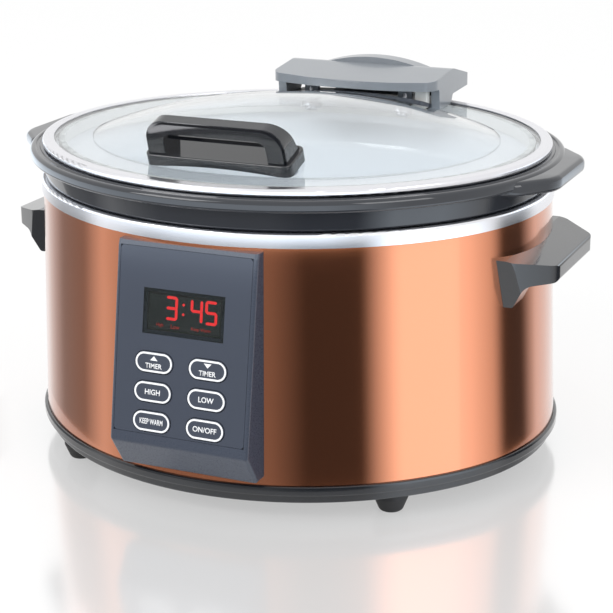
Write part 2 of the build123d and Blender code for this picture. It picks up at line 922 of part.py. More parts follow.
def lid_glass():
    edge = -lid_inset - lid_sheet - hair
    body = ring(
        (-dome_inset, glass_z),
        (edge, glass_z, 0.4 * glass),
        (edge, flange_top, 0.4 * glass),
        (-dome_inset, flange_top),
    )
    body = body + slab(-dome_inset, glass_z, flange_top) + dome_block(0.0) - dome_block(-glass)
    for frame in grip_screw_frames() + bracket_screw_frames():
        body -= frame * Cylinder(screw_radius + sink_gap, 4 * glass)
    return body


def lid_gasket():
    low = glass_z - gasket_depth
    inner = -gasket_inset - gasket_width
    return ring((-gasket_inset, glass_z), (-gasket_inset, low, crisp), (inner, low, crisp), (inner, glass_z))


def grip_arch(inset, half, trim):
    """Bow of the handle without its opening, its front and back moved in by trim."""
    front = grip_inset - grip_depth / 2 + trim
    side = along_y(
        grip_depth,
        (-half, 0),
        (-half + grip_lean, grip_height - inset, grip_corner),
        (half - grip_lean, grip_height - inset, grip_corner),
        (half, 0),
    )
    depth = along_x(
        grip_half,
        (front, -1),
        (front, grip_height + 1),
        (front + grip_bar_depth - 2 * trim, grip_height + 1),
        (grip_depth / 2 - grip_inset - trim, -1),
    )
    return side & depth


def lid_handle():
    lip_z = grip_plate + grip_lip
    base = rounded_block(2 * grip_half, grip_depth, grip_round, -grip_sink, lip_z)
    base = fillet(base.edges().group_by(Axis.Z)[-1], 0.8 * crisp)
    base -= rounded_block(
        2 * (grip_half - grip_lip_width), grip_depth - 2 * grip_lip_width, grip_round - grip_lip_width,
        grip_plate, 2 * lip_z,
    )
    half = grip_half - grip_inset
    bow = grip_arch(grip_step, half - grip_step, 0.0) + grip_arch(0.0, half, grip_step)
    opening = half - grip_leg
    bow -= along_y(
        grip_depth,
        (-opening, -grip_sink),
        (-opening + grip_lean / 2, grip_height - grip_bar, grip_hollow),
        (opening - grip_lean / 2, grip_height - grip_bar, grip_hollow),
        (opening, -grip_sink),
    )
    under = Pos(0, 0, glass_z) * Box(beyond, beyond, beyond, align=down)
    body = dome_frame(0, -grip_y) * (base + bow) - dome_block(0.0) - under
    for frame in grip_screw_frames():
        body -= frame * Cylinder(screw_radius, 2 * (grip_screw - glass))
    return body


def under_glass_screw(frame, length):
    """Screw that pulls a fitting on to the glass, its washer against the underside."""
    return frame * (Pos(0, 0, -glass - washer_sag - washer_thick) * bolt(length))


def under_glass_washer(frame):
    disc = Cylinder(washer_radius, washer_thick, align=down) - Cylinder(screw_radius, 4 * washer_thick)
    return frame * (Pos(0, 0, -glass - washer_sag) * disc)


def hinge_bracket():
    front = half_depth - bracket_front_in
    back = half_depth - bracket_back_in
    block = Pos(0, (front + back) / 2, 0) * rounded_block(
        2 * bracket_half, back - front, bracket_corner, glass_z, axis_z + dome_rise
    )
    flange = -lid_inset - lid_rim_width - crisp
    plate = block & (dome_block(bracket_skin) + slab(flange, glass_z, flange_top + bracket_skin))
    arm_low = lid_top + arm_clear
    arm_high = arm_low + arm_thick
    arm = along_x(
        arm_half,
        (half_depth - arm_front_in, arm_low),
        (axis_y, arm_low),
        (axis_y, arm_high),
        (half_depth - arm_step_in, arm_high, arm_step_in),
        (half_depth - arm_front_in, flange_top + crisp),
    )
    body = plate + arm + Pos(0, axis_y, axis_z) * rod(barrel, 2 * arm_half)
    body = body - dome_block(0.0) - slab(flange, glass_z - 1, flange_top)
    body -= Pos(0, axis_y, axis_z) * rod(pin_radius, 3 * arm_half)
    for frame in bracket_screw_frames():
        body -= frame * Cylinder(screw_radius, 3 * cap_screw)
    return body


def hinge_pin():
    body = rod(pin_radius, 2 * pin_half)
    return Pos(0, axis_y, axis_z) * chamfer(body.edges(), pin_chamfer)


def hinge_cap():
    rear = axis_y + crisp
    front_z = lid_top + cap_front_height
    crest_z = lid_top + cap_crest_height
    rear_z = lid_top + cap_rear_height
    lip_y = cap_front - cap_lip_proud
    foot_z = flange_top + hair
    cheek_front = half_depth - cheek_front_in
    cheek_rear = sqrt((rim_inner - cheek_trim) ** 2 - cap_half ** 2) - side_y
    solid = along_x(
        cap_half,
        (lip_y, front_z - cap_lip, crisp),
        (lip_y, front_z, soft),
        (cap_crest, crest_z, cap_crown),
        (rear, rear_z, soft),
        (rear, rear_z - cap_rear_lip, crisp),
        (cheek_rear + cap_skin, rear_z - cap_rear_lip - crisp, soft),
        (cheek_rear, foot_z),
        (cheek_front, foot_z),
        (cheek_front - crisp, front_z - cap_lip, soft),
    )
    solid &= along_z(
        glass_z, crest_z + 1,
        (-cap_half, cap_front + cap_bow, cap_corner),
        (-cap_half / 2, lip_y + cap_bow / 2, cap_half),
        (0, lip_y, 2.5 * cap_half),
        (cap_half / 2, lip_y + cap_bow / 2, cap_half),
        (cap_half, cap_front + cap_bow, cap_corner),
        (cap_half, rear, cap_cheek),
        (-cap_half, rear, cap_cheek),
    )
    inside = cap_front + 2 * cap_skin
    body = solid - along_x(
        cap_half - cap_cheek,
        (inside, glass_z - 1),
        (inside, front_z - cap_skin, crisp),
        (cap_crest, crest_z - cap_skin, cap_crown - cap_skin),
        (rear - 2 * soft, rear_z - cap_skin, crisp),
        (rear - 2 * soft, glass_z - 1),
    )
    room = tower_half + 1.5 * crisp
    notch = Box(2 * room, half_depth, half_depth, align=(Align.CENTER, Align.MIN, Align.MIN))
    body -= Pos(0, axis_y - horn - soft, glass_z) * notch
    arc = ThreePointArc((-ridge_half, -ridge_rise), (0, 0), (ridge_half, -ridge_rise))
    foot_line = Polyline(
        (ridge_half, -ridge_rise), (ridge_half, -1.3 * ridge_rise), (-ridge_half, -1.3 * ridge_rise),
        (-ridge_half, -ridge_rise),
    )
    ridge = extrude(Plane.XZ * make_face(Curve() + [arc, foot_line]), amount=ridge_depth / 2, both=True)
    body += Pos(0, cap_crest + ridge_back, lid_top + ridge_height) * ridge
    for frame in bracket_screw_frames():
        post = frame * Cylinder(cap_post, 2 * cap_screw, align=up)
        body += (post & solid) - dome_block(bracket_skin)
    for frame in bracket_screw_frames():
        body -= frame * Cylinder(screw_radius, 2 * (cap_screw - glass))
    return body - dome_block(0.0)


def cap_pad():
    ceiling = lid_top + cap_front_height - cap_skin
    pad = Pos(pad_x, half_depth - pad_in, 0) * rounded_block(pad_width, pad_depth, crisp, flange_top, ceiling)
    return pad - dome_block(bracket_skin)


# ---------------------------------------------------------------- the set of pieces
pieces = {
    "base_tray": base_tray(),
    "outer_housing": outer_housing(),
    "top_rim_band": top_rim_band(),
    "heating_well": heating_well(),
    "heater_band": heater_band(),
    "thermostat": thermostat(),
    "power_board": power_board(),
    "panel_bezel": panel_bezel(),
    "panel_fascia": panel_fascia(),
    "display_window": display_window(),
    "led_display": led_display(),
    "control_board": control_board(),
    "hinge_tower": hinge_tower(),
    "cord_inlet": cord_inlet(),
    "crock": crock(),
    "lid_rim": lid_rim(),
    "lid_glass": lid_glass(),
    "lid_gasket": lid_gasket(),
    "lid_handle": lid_handle(),
    "hinge_bracket": hinge_bracket(),
    "hinge_pin": hinge_pin(),
    "hinge_cap": hinge_cap(),
    "cap_pad": cap_pad(),
}

for number, (x, y) in enumerate(foot_places(), start=1):
    pieces[f"foot_{number}"] = foot(x, y)
for number, (x, y) in enumerate(post_places(), start=1):
    screw_z = tray_z + screw_head_height + 2 * sink_gap
    pieces[f"base_screw_{number}"] = Pos(x, y, screw_z) * bolt(well_lift)

right_handle = side_handle()
pieces["side_handle_right"] = right_handle
pieces["side_handle_left"] = mirrored(right_handle)
for number, y in enumerate((-wing_screw_y, wing_screw_y), start=1):
    screw = wing_screw(y)
    pieces[f"side_screw_right_{number}"] = screw
    pieces[f"side_screw_left_{number}"] = mirrored(screw)

for name, x, y in key_places():
    pieces[f"key_{name}"] = key(x, y)
for number, (x, z) in enumerate(tower_screw_places(), start=1):
    pieces[f"tower_screw_{number}"] = tower_screw(x, z)
for number, frame in enumerate(grip_screw_frames(), start=1):
    pieces[f"grip_screw_{number}"] = under_glass_screw(frame, grip_screw)
    pieces[f"grip_washer_{number}"] = under_glass_washer(frame)
for number, frame in enumerate(bracket_screw_frames(), start=1):
    pieces[f"hinge_screw_{number}"] = under_glass_screw(frame, cap_screw)
    pieces[f"hinge_washer_{number}"] = under_glass_washer(frame)

boxes = [body.bounding_box() for body in pieces.values()]
middle = (min(box.min.Y for box in boxes) + max(box.max.Y for box in boxes)) / 2
for name, body in pieces.items():
    export_step(Pos(0, -middle, 0) * body, f"parts/{name}.step")
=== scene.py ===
"""Slow cooker with a hinged glass lid: its finishes, glazed crock, key prints, display, stage and camera."""

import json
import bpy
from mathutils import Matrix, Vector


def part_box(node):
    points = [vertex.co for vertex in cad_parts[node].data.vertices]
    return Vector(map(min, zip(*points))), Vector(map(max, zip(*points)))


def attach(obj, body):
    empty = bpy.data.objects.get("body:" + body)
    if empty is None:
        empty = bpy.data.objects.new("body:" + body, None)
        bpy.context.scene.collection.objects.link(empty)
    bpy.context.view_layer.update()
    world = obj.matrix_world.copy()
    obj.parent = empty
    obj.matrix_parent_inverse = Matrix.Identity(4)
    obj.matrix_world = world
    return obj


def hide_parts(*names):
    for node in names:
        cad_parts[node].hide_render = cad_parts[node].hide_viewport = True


bl_info = {
    "name": "Slow Cooker Dressing",
    "version": (1, 1, 0),
    "blender": (4, 5, 0),
    "location": "3D View > Sidebar > Cooker",
    "description": "Dresses the packed slow cooker with its finishes, printed keys, display and a studio",
    "category": "Object",
}

from math import atan2, cos, pi, radians, sin, sqrt, tan

import bmesh
import bpy
from bpy.props import FloatProperty, FloatVectorProperty, PointerProperty, StringProperty
from mathutils import Matrix, Vector

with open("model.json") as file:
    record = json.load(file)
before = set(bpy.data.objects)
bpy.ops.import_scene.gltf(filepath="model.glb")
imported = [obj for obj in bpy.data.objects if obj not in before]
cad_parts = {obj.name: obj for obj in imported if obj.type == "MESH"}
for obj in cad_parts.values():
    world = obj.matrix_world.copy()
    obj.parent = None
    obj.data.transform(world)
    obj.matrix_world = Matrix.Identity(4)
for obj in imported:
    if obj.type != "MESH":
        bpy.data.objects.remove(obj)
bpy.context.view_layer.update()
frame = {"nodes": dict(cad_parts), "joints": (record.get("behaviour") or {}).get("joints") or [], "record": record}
nodes = frame["nodes"]
mm = 0.001
drift_scale = 18.0  # of a colour's slow drift: a wave is about 55 mm long


# ---------------------------------------------------------------- colours and shader nodes
def linear(code):
    """Linear red, green, blue and alpha of an sRGB hex colour."""
    channels = [int(code[i:i + 2], 16) / 255 for i in (1, 3, 5)]
    return (*[c / 12.92 if c <= 0.04045 else ((c + 0.055) / 1.055) ** 2.4 for c in channels], 1.0)


def add(tree, kind, settings=None, **links):
    """Add a node. Settings are attributes or socket values; links name input sockets or give their number."""
    node = tree.nodes.new("ShaderNode" + kind)
    for key, value in (settings or {}).items():
        if not isinstance(key, int) and hasattr(node, key):
            setattr(node, key, value)
        else:
            node.inputs[key].default_value = value
    for key, source in links.items():
        target = node.inputs[int(key[1:])] if key[0] == "_" else node.inputs[key.replace("_", " ")]
        tree.links.new(source, target)
    return node


def start_material(name):
    """A new material with its tree emptied down to the output."""
    made = bpy.data.materials.new(name)
    made.use_nodes = True
    tree = made.node_tree
    tree.nodes.clear()
    return made, tree, tree.nodes.new("ShaderNodeOutputMaterial")


def eye_rays(tree):
    """1 for rays that end in the eye: straight from the camera, off gloss or through glass."""
    path = add(tree, "LightPath").outputs
    seen = add(tree, "Math", {"operation": "MAXIMUM"}, _0=path["Is Camera Ray"], _1=path["Is Glossy Ray"])
    seen = add(tree, "Math", {"operation": "MAXIMUM"}, _0=seen.outputs[0], _1=path["Is Transmission Ray"])
    return seen.outputs[0]


def surface(name, code, roughness, grain, relief, stretch=(1, 1, 1), spread=0.08, sway=0.04, **sockets):
    """Material whose grain moves its roughness and relief, and whose colour drifts slowly.

    The grain and the relief are sizes in mm. The sockets are those of the shader, by name."""
    made, tree, output = start_material(name)
    place = add(tree, "TexCoord").outputs["Object"]
    lay = add(tree, "Mapping", {"Scale": stretch}, Vector=place).outputs[0]
    fine = add(tree, "TexNoise", {"Scale": 1 / (grain * mm), "Detail": 3.0}, Vector=lay).outputs["Fac"]
    slow = add(tree, "TexNoise", {"Scale": drift_scale, "Detail": 2.0}, Vector=place).outputs["Fac"]
    rough = add(tree, "MapRange", {"To Min": roughness - spread / 2, "To Max": roughness + spread / 2},
                Value=fine)
    drift = add(tree, "MapRange", {"To Min": 1 - sway, "To Max": 1 + sway}, Value=slow)
    tint = add(tree, "HueSaturation", {"Color": linear(code)}, Value=drift.outputs[0])
    bump = add(tree, "Bump", {"Strength": 1.0, "Distance": relief * mm}, Height=fine)
    shader = add(tree, "BsdfPrincipled", {key.replace("_", " "): value for key, value in sockets.items()},
                 Base_Color=tint.outputs[0], Roughness=rough.outputs[0], Normal=bump.outputs[0])
    tree.links.new(shader.outputs[0], output.inputs[0])
    return made


def settle(shape, name, material, body, place=None):
    """Turn a finished bmesh into an object at the origin that rides on a body."""
    if place is not None:
        shape.transform(place)
    bmesh.ops.recalc_face_normals(shape, faces=shape.faces)
    mesh = bpy.data.meshes.new(name)
    shape.to_mesh(mesh)
    shape.free()
    mesh.materials.append(material)
    made = bpy.data.objects.new(name, mesh)
    bpy.context.scene.collection.objects.link(made)
    if body:
        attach(made, body)
    return made


def centre(node):
    """Middle of a node's box."""
    low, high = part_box(node)
    return (low + high) / 2


def lift(shape, made, height):
    """Move upwards what an extrusion has just made."""
    corners = [item for item in made if isinstance(item, bmesh.types.BMVert)]
    bmesh.ops.translate(shape, verts=corners, vec=(0, 0, height))


# ---------------------------------------------------------------- sizes and colours a user would change
class CookerStage(bpy.types.PropertyGroup):
    azimuth: FloatProperty(name="Azimuth", description="Camera to the right of the front",
                           default=radians(24.27), subtype="ANGLE")
    elevation: FloatProperty(name="Elevation", description="Camera above the table",
                             default=radians(17.83), subtype="ANGLE")
    roll: FloatProperty(name="Roll", description="Camera's turn about its own axis",
                        default=radians(-0.61), subtype="ANGLE")
    distance: FloatProperty(name="Distance", description="From the camera to the point it looks at",
                            default=1.101, unit="LENGTH")
    lens: FloatProperty(name="Lens", description="Focal length on a 36 mm sensor", default=104.85)
    aim: FloatVectorProperty(name="Aim", description="Point looked at, from the middle of the base",
                             default=(0.00547, 0.00247, 0.0784), subtype="TRANSLATION", unit="LENGTH")
    key_power: FloatProperty(name="Key light", description="Power of the lamp at the left", default=20.0,
                             unit="POWER")
    fill_power: FloatProperty(name="Fill light", description="Power of the lamp at the right", default=10.0,
                              unit="POWER")
    floor_glow: FloatProperty(name="Floor glow", description="Share of the floor that the eye sees lit white",
                              default=0.45)
    floor_mirror: FloatProperty(name="Floor mirror", description="Share of the floor's polish that mirrors",
                                default=0.6)
    tent_gap: FloatProperty(name="Tent gap", description="From the steel wrap out to the tent round it",
                            default=0.045, unit="LENGTH")
    tent_height: FloatProperty(name="Tent height", description="Top edge of the tent above the table",
                               default=0.186, unit="LENGTH")
    tent_sight: FloatProperty(name="Tent sight", description="Farthest that a surface sees the tent from",
                              default=0.11, unit="LENGTH")
    tent_cloth: StringProperty(name="Tent cloth", description="Plain cloth of the tent", default="#888888")
    tent_shade: StringProperty(name="Tent shade", description="Cloth that no lamp reaches", default="#505050")
    tent_box: StringProperty(name="Soft box", description="Brightest part of the tent", default="#b8c0c8")
    tent_flag: StringProperty(name="Black flag", description="Dark cards in the tent", default="#262626")
    tent_power: FloatProperty(name="Tent strength", description="Brightness of a plain white in the tent",
                              default=4.0)


class CookerFinish(bpy.types.PropertyGroup):
    copper: StringProperty(name="Copper", description="Lacquer over the steel wrap", default="#d08058")
    steel: StringProperty(name="Steel", description="Band and lid rim", default="#e8e8ec")
    phenolic: StringProperty(name="Phenolic", description="Base, handles, tower and cap", default="#1b1e23")
    # The cap's grey is paler than the cap itself: part of it is a painted reflection of the white studio on its
    # top.
    cap: StringProperty(name="Cap", description="Cap over the hinge", default="#7c8289")
    glaze: StringProperty(name="Glaze", description="Outside of the crock", default="#2a2d33")
    inner_glaze: StringProperty(name="Inner glaze", description="Inside of the crock", default="#f2f4f6")
    slate: StringProperty(name="Slate", description="Control housing, its overlay and the keys",
                          default="#3e4553")
    ink: StringProperty(name="Ink", description="Outlines and words on the keys", default="#eef0f2")
    glow: StringProperty(name="Glow", description="Lit segments of the display", default="#f42428")


class CookerCrock(bpy.types.PropertyGroup):
    half_length: FloatProperty(name="Half length", description="Of the oval that all vessels follow",
                               default=160 * mm, unit="LENGTH")
    end_x: FloatProperty(name="End centre", description="From the middle out to an end arc's centre",
                         default=32 * mm, unit="LENGTH")
    side_y: FloatProperty(name="Side centre", description="From the middle back to a side arc's centre",
                          default=24 * mm, unit="LENGTH")
    lug_proud: FloatProperty(name="Lug reach", description="Of a lug beyond the reference oval",
                             default=12 * mm, unit="LENGTH")
    lug_root: FloatProperty(name="Lug root", description="Half width of a lug at the wall",
                            default=52 * mm, unit="LENGTH")
    lug_tip: FloatProperty(name="Lug tip", description="Half width of a lug at its tip",
                           default=28 * mm, unit="LENGTH")
    lug_thick: FloatProperty(name="Lug thickness", description="From under a lug to its top",
                             default=8.4 * mm, unit="LENGTH")
    lug_drop: FloatProperty(name="Lug drop", description="Of a lug's top under the rim's",
                            default=1.2 * mm, unit="LENGTH")
    lug_round: FloatProperty(name="Lug rounding", description="Of its upper and lower edges",
                             default=3.2 * mm, unit="LENGTH")
    scoop_radius: FloatProperty(name="Scoop radius", description="Of the finger scoop under a lug",
                                default=14 * mm, unit="LENGTH")
    scoop_depth: FloatProperty(name="Scoop depth", description="Of the finger scoop into a lug",
                               default=2 * mm, unit="LENGTH")


class CookerPrint(bpy.types.PropertyGroup):
    line: FloatProperty(name="Line", description="Width of the outline round each key",
                        default=1.05 * mm, unit="LENGTH")
    ink_height: FloatProperty(name="Ink height", description="Thickness of the printed ink",
                              default=0.04 * mm, unit="LENGTH")
    letter: FloatProperty(name="Letters", description="Height of a key's capital letters",
                          default=3.1 * mm, unit="LENGTH")
    digit: FloatProperty(name="Digits", description="Height of the display's digits",
                         default=13.2 * mm, unit="LENGTH")
    stroke: FloatProperty(name="Stroke", description="Width of a display segment",
                          default=1.55 * mm, unit="LENGTH")
    slant: FloatProperty(name="Slant", description="Lean of the display's digits",
                         default=radians(9), subtype="ANGLE")


# ---------------------------------------------------------------- stage
class COOKER_OT_stage(bpy.types.Operator):
    """Make the floor, the studio light and the camera"""
    bl_idname = "cooker.stage"
    bl_label = "Set the stage"

    def execute(self, context):
        scene = context.scene
        stage = scene.cooker_stage
        base = centre("base_tray")
        scene.view_settings.view_transform = "Standard"

        # Polished white acrylic sheet: lit white for the eye, with a soft mirror image of what stands on it.
        made, tree, output = start_material("Polished white acrylic floor")
        share = add(tree, "Math", {"operation": "MULTIPLY", 1: stage.floor_glow}, _0=eye_rays(tree))
        grain = add(tree, "TexNoise", {"Scale": 30.0}, Vector=add(tree, "TexCoord").outputs["Object"])
        rough = add(tree, "MapRange", {"To Min": 0.12, "To Max": 0.16}, Value=grain.outputs[0])
        sheet_white = add(tree, "BsdfPrincipled", {"Base Color": linear("#ffffff"), "Roughness": 0.5})
        mirror = add(tree, "BsdfGlossy", {"Color": (1, 1, 1, 1)}, Roughness=rough.outputs[0])
        polished = add(tree, "MixShader", {0: stage.floor_mirror}, _1=sheet_white.outputs[0],
                       _2=mirror.outputs[0])
        white = add(tree, "Emission", {"Color": (1, 1, 1, 1)})
        mixed = add(tree, "MixShader", None, _0=share.outputs[0], _1=polished.outputs[0], _2=white.outputs[0])
        tree.links.new(mixed.outputs[0], output.inputs[0])
        sheet = bmesh.new()
        bmesh.ops.create_grid(sheet, x_segments=1, y_segments=1, size=6)
        settle(sheet, "floor", made, None)

        # White studio air: a little dimmer as light on the cooker than as the background that the eye sees.
        world = bpy.data.worlds.new("studio")
        scene.world = world
        world.use_nodes = True
        tree = world.node_tree
        tree.nodes.clear()
        strength = add(tree, "MapRange", {"To Min": 0.9, "To Max": 1.0}, Value=eye_rays(tree))
        back = add(tree, "Background", {"Color": (1, 1, 1, 1)}, Strength=strength.outputs[0])
        tree.links.new(back.outputs[0], tree.nodes.new("ShaderNodeOutputWorld").inputs[0])

        for name, place, size, power in (
            ("key_light", Vector((-1.2, -1.6, 1.5)), 1.2, stage.key_power),
            ("fill_light", Vector((1.6, -1.0, 1.1)), 1.0, stage.fill_power),
        ):
            lamp = bpy.data.lights.new(name, "AREA")
            lamp.size = size
            lamp.energy = power
            holder = bpy.data.objects.new(name, lamp)
            holder.location = place
            holder.rotation_euler = (base - place).to_track_quat("-Z", "Y").to_euler()
            scene.collection.objects.link(holder)

        camera = bpy.data.cameras.new("camera")
        camera.sensor_width = 36
        camera.lens = stage.lens
        camera.clip_end = 50
        holder = bpy.data.objects.new("camera", camera)
        aim = Vector((base.x, base.y, 0)) + Vector(stage.aim)
        away = Vector((sin(stage.azimuth) * cos(stage.elevation),
                       -cos(stage.azimuth) * cos(stage.elevation), sin(stage.elevation)))
        turn = Matrix.Rotation(stage.azimuth, 4, "Z") @ Matrix.Rotation(pi / 2 - stage.elevation, 4, "X")
        turn @= Matrix.Rotation(stage.roll, 4, "Z")
        holder.matrix_world = Matrix.Translation(aim + stage.distance * away) @ turn
        scene.collection.objects.link(holder)
        scene.camera = holder
        return {"FINISHED"}


def bands(tree, share, stops):
    """Colour round the tent: degrees from the front towards the right, and the colour there."""
    ramp = add(tree, "ValToRGB", None, Fac=share)
    ends = ramp.color_ramp.elements
    ends[0].position = 0.0
    ends[0].color = linear(stops[0][1])
    ends[1].position = 1.0
    ends[1].color = linear(stops[-1][1])
    for degrees_right, code in stops[1:-1]:
        ends.new((degrees_right + 180) / 360).color = linear(code)
    return ramp.outputs[0]


class COOKER_OT_tent(bpy.types.Operator):
    """Stand a cloth tent round the cooker, which only its glossy surfaces see"""
    bl_idname = "cooker.tent"
    bl_label = "Stand the tent"

    def execute(self, context):
        stage = context.scene.cooker_stage
        base = centre("base_tray")
        low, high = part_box("outer_housing")
        half = (high - low) / 2

        # Lit cloth with soft boxes and dark flags: bright and dark columns stand in the metal inside it.
        made, tree, output = start_material("Lit tent cloth with dark flags")
        place = add(tree, "TexCoord").outputs["Object"]
        local = add(tree, "VectorMath", {"operation": "SUBTRACT", 1: (base.x, base.y, 0)}, _0=place)
        parts = add(tree, "SeparateXYZ", None, _0=local.outputs[0]).outputs
        front = add(tree, "Math", {"operation": "MULTIPLY", 1: -1.0}, _0=parts["Y"])
        angle = add(tree, "Math", {"operation": "ARCTAN2"}, _0=parts["X"], _1=front.outputs[0])
        share = add(tree, "MapRange", {"From Min": -pi, "From Max": pi}, Value=angle.outputs[0])
        cloth, shade, box, flag = stage.tent_cloth, stage.tent_shade, stage.tent_box, stage.tent_flag
        wall = bands(tree, share.outputs[0], (
            (-180, cloth), (-85, cloth), (-65, shade), (-50, shade), (-40, cloth), (-20, shade), (15, shade),
            (25, flag), (40, flag), (50, box), (65, box), (80, cloth), (85, flag), (95, flag), (105, cloth),
            (180, cloth),
        ))
        top = bands(tree, share.outputs[0], (
            (-180, cloth), (-100, cloth), (-80, box), (30, box), (50, cloth), (80, cloth), (100, box),
            (120, cloth), (180, cloth),
        ))
        wall_end, top_start = 0.78 * stage.tent_height, 0.8 * stage.tent_height
        over = add(tree, "MapRange", {"From Min": wall_end, "From Max": top_start}, Value=parts["Z"])
        colour = add(tree, "MixRGB", None, _0=over.outputs[0], _1=wall, _2=top)
        light = add(tree, "Emission", {"Strength": stage.tent_power}, _0=colour.outputs[0])
        clear = add(tree, "BsdfTransparent")
        # Only what stands close to the tent sees it, and from the inside, so the floor mirrors little of it.
        behind = add(tree, "NewGeometry").outputs["Backfacing"]
        distance = add(tree, "LightPath").outputs["Ray Length"]
        far = add(tree, "Math", {"operation": "GREATER_THAN", 1: stage.tent_sight}, _0=distance)
        past = add(tree, "Math", {"operation": "MAXIMUM"}, _0=behind, _1=far.outputs[0])
        mixed = add(tree, "MixShader", None, _0=past.outputs[0], _1=light.outputs[0], _2=clear.outputs[0])
        tree.links.new(mixed.outputs[0], output.inputs[0])

        ring = bmesh.new()
        bmesh.ops.create_circle(ring, segments=180, radius=1)
        lift(ring, bmesh.ops.extrude_edge_only(ring, edges=ring.edges)["geom"], 1)
        size = (half.x + stage.tent_gap, half.y + stage.tent_gap, stage.tent_height)
        bmesh.ops.scale(ring, verts=ring.verts, vec=size)
        bmesh.ops.recalc_face_normals(ring, faces=ring.faces)
        first = ring.faces[:][0]
        if first.normal.dot(first.calc_center_median()) > 0:
            bmesh.ops.reverse_faces(ring, faces=ring.faces)
        bmesh.ops.translate(ring, verts=ring.verts, vec=(base.x, base.y, 0))
        mesh = bpy.data.meshes.new("tent")
        ring.to_mesh(mesh)
        ring.free()
        mesh.materials.append(made)
        tent = bpy.data.objects.new("tent", mesh)
        context.scene.collection.objects.link(tent)
        tent.visible_camera = False
        tent.visible_diffuse = False
        tent.visible_transmission = False
        tent.visible_volume_scatter = False
        tent.visible_shadow = False
        return {"FINISHED"}


# ---------------------------------------------------------------- finishes of the carried-over nodes
def clear_material(name, code, roughness, ior):
    """Clear solid that lets shadow and bounce light straight through, so that what is behind it stays lit."""
    made, tree, output = start_material(name)
    path = add(tree, "LightPath").outputs
    passing = add(tree, "Math", {"operation": "MAXIMUM"}, _0=path["Is Shadow Ray"], _1=path["Is Diffuse Ray"])
    place = add(tree, "TexCoord").outputs["Object"]
    smear = add(tree, "TexNoise", {"Scale": 1 / (40 * mm), "Detail": 2.0}, Vector=place)
    rough = add(tree, "MapRange", {"To Min": 0.0, "To Max": roughness}, Value=smear.outputs[0])
    body = add(tree, "BsdfPrincipled", {"Base Color": linear(code), "Transmission Weight": 1.0, "IOR": ior},
               Roughness=rough.outputs[0])
    hole = add(tree, "BsdfTransparent", {"Color": linear(code)})
    mixed = add(tree, "MixShader", None, _0=passing.outputs[0], _1=body.outputs[0], _2=hole.outputs[0])
    tree.links.new(mixed.outputs[0], output.inputs[0])
    return made


def glazed_crock(outside, inside):
    """Dipped glaze: glassy, a little uneven, black outside and pale in the pot, with a soft edge between."""
    made, tree, output = start_material("Glazed stoneware")
    coords = add(tree, "TexCoord").outputs
    base = centre("crock")
    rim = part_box("crock")[1].z
    edge_top, edge_foot, pot_floor = rim - 3 * mm, rim - 5 * mm, rim - 20 * mm
    # The pot's inside is what faces inwards under the edge, and what faces up deep in the pot.
    local = add(tree, "VectorMath", {"operation": "SUBTRACT", 1: (base.x, base.y, 0)}, _0=coords["Object"])
    flat = add(tree, "VectorMath", {"operation": "MULTIPLY", 1: (1, 1, 0)}, _0=local.outputs[0])
    facing = add(tree, "VectorMath", {"operation": "DOT_PRODUCT"}, _0=flat.outputs[0], _1=coords["Normal"])
    wall = add(tree, "Math", {"operation": "LESS_THAN", 1: -0.002}, _0=facing.outputs["Value"])
    rise = add(tree, "SeparateXYZ", None, _0=coords["Normal"]).outputs["Z"]
    height = add(tree, "SeparateXYZ", None, _0=coords["Object"]).outputs["Z"]
    floor = add(tree, "Math", {"operation": "GREATER_THAN", 1: 0.5}, _0=rise)
    deep = add(tree, "Math", {"operation": "LESS_THAN", 1: pot_floor}, _0=height)
    floor = add(tree, "Math", {"operation": "MULTIPLY"}, _0=floor.outputs[0], _1=deep.outputs[0])
    under = add(tree, "MapRange", {"From Min": edge_top, "From Max": edge_foot}, Value=height)
    wall = add(tree, "Math", {"operation": "MULTIPLY"}, _0=wall.outputs[0], _1=under.outputs[0])
    pot = add(tree, "Math", {"operation": "MAXIMUM"}, _0=wall.outputs[0], _1=floor.outputs[0])
    colour = add(tree, "MixRGB", {1: linear(outside), 2: linear(inside)}, _0=pot.outputs[0])
    pool = add(tree, "TexNoise", {"Scale": 1 / (9 * mm), "Detail": 2.0}, Vector=coords["Object"])
    speck = add(tree, "TexNoise", {"Scale": 1 / (1.2 * mm), "Detail": 1.0}, Vector=coords["Object"])
    rough = add(tree, "MapRange", {"To Min": 0.03, "To Max": 0.07}, Value=speck.outputs[0])
    bump = add(tree, "Bump", {"Strength": 1.0, "Distance": 0.012 * mm}, Height=pool.outputs[0])
    shader = add(tree, "BsdfPrincipled", {"IOR": 1.52, "Coat Weight": 0.2, "Coat Roughness": 0.02},
                 Base_Color=colour.outputs[0], Roughness=rough.outputs[0], Normal=bump.outputs[0])
    tree.links.new(shader.outputs[0], output.inputs[0])
    return made


# ---------------------------------------------------------------- crock
def round_corner(shape, corner, before, after, radius, segments):
    """Round one corner of a line or outline; before and after are its neighbours' places."""
    turn = (corner.co - before).angle(after - corner.co)
    bmesh.ops.bevel(shape, geom=[corner], offset=radius * tan(turn / 2), offset_type="OFFSET",
                    segments=segments, profile=0.5, affect="VERTICES", material=-1)


def rounded_line(shape, corners, segments):
    """Corners in a row, each a place and a rounding, joined by straight runs and rounded."""
    line = [shape.verts.new(place) for place, _ in corners]
    for pair in zip(line, line[1:]):
        shape.edges.new(pair)
    for i in range(1, len(line) - 1):
        if corners[i][1]:
            round_corner(shape, line[i], corners[i - 1][0], corners[i + 1][0], corners[i][1], segments)


